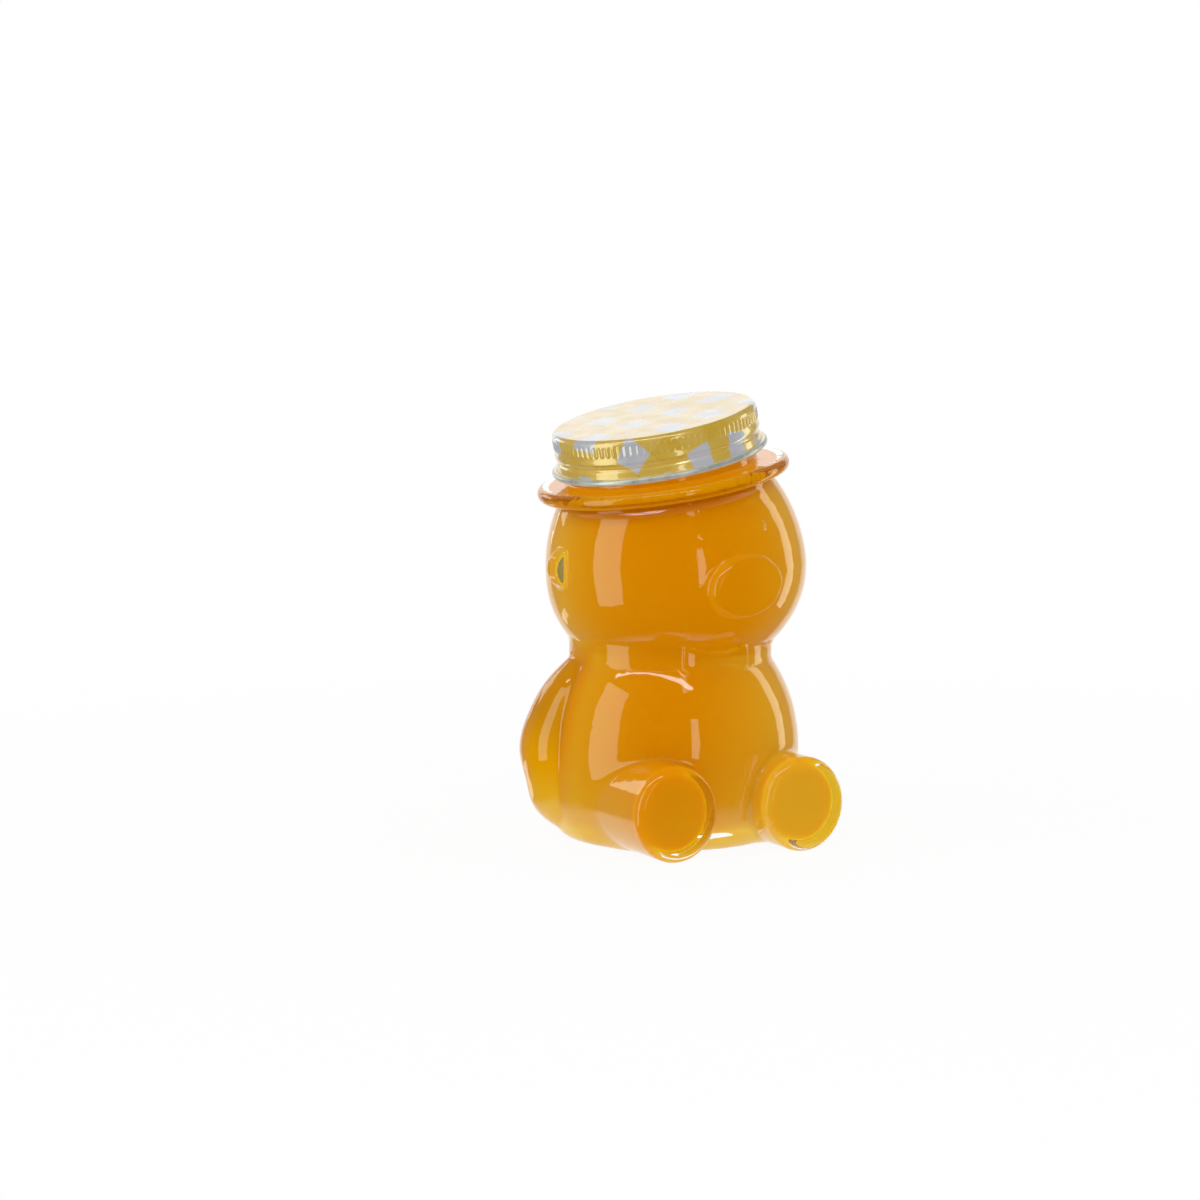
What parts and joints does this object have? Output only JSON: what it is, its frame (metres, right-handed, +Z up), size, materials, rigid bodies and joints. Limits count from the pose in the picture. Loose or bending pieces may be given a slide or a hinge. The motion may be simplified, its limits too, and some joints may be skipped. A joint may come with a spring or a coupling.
{
  "type": "honey bear bottle",
  "caption": "Clear glass jar moulded as a sitting bear, filled with honey and closed by a leaning twist-off tinplate lid in a gingham print.",
  "frame": {"origin": "centre of the flat ring under the belly that the bottle stands on", "axes": "+Z up, the bear looks towards -Y and its right side is -X"},
  "size_m": [0.0916, 0.0888, 0.1365],
  "materials": {
    "clear_glass": "polished soda-lime container glass",
    "honey": "clear amber liquid",
    "printed_tinplate": "gloss lacquer over a printed gingham check",
    "sealing_compound": "soft matte"
  },
  "bodies": {
    "jar": {"glass_jar": "clear_glass", "honey": "honey"},
    "seal": {"lid_liner": "sealing_compound"},
    "lid": {"lid_shell": "printed_tinplate"}
  },
  "joints": [
    {"name": "lid_rise", "type": "slide", "parent": "jar", "child": "seal", "axis": [-0.213, -0.0682, 0.9747], "range_m": [0, 0.0148]},
    {"name": "lid_turn", "type": "hinge", "parent": "seal", "child": "lid", "pos_m": [-0.00254, -0.00021, 0.11094], "axis": [-0.213, -0.0682, 0.9747], "range_deg": [0, 360]}
  ],
  "couplings": [
    {"joint": "lid_rise", "follows": "lid_turn", "m_per_rad": 0.0023555}
  ]
}
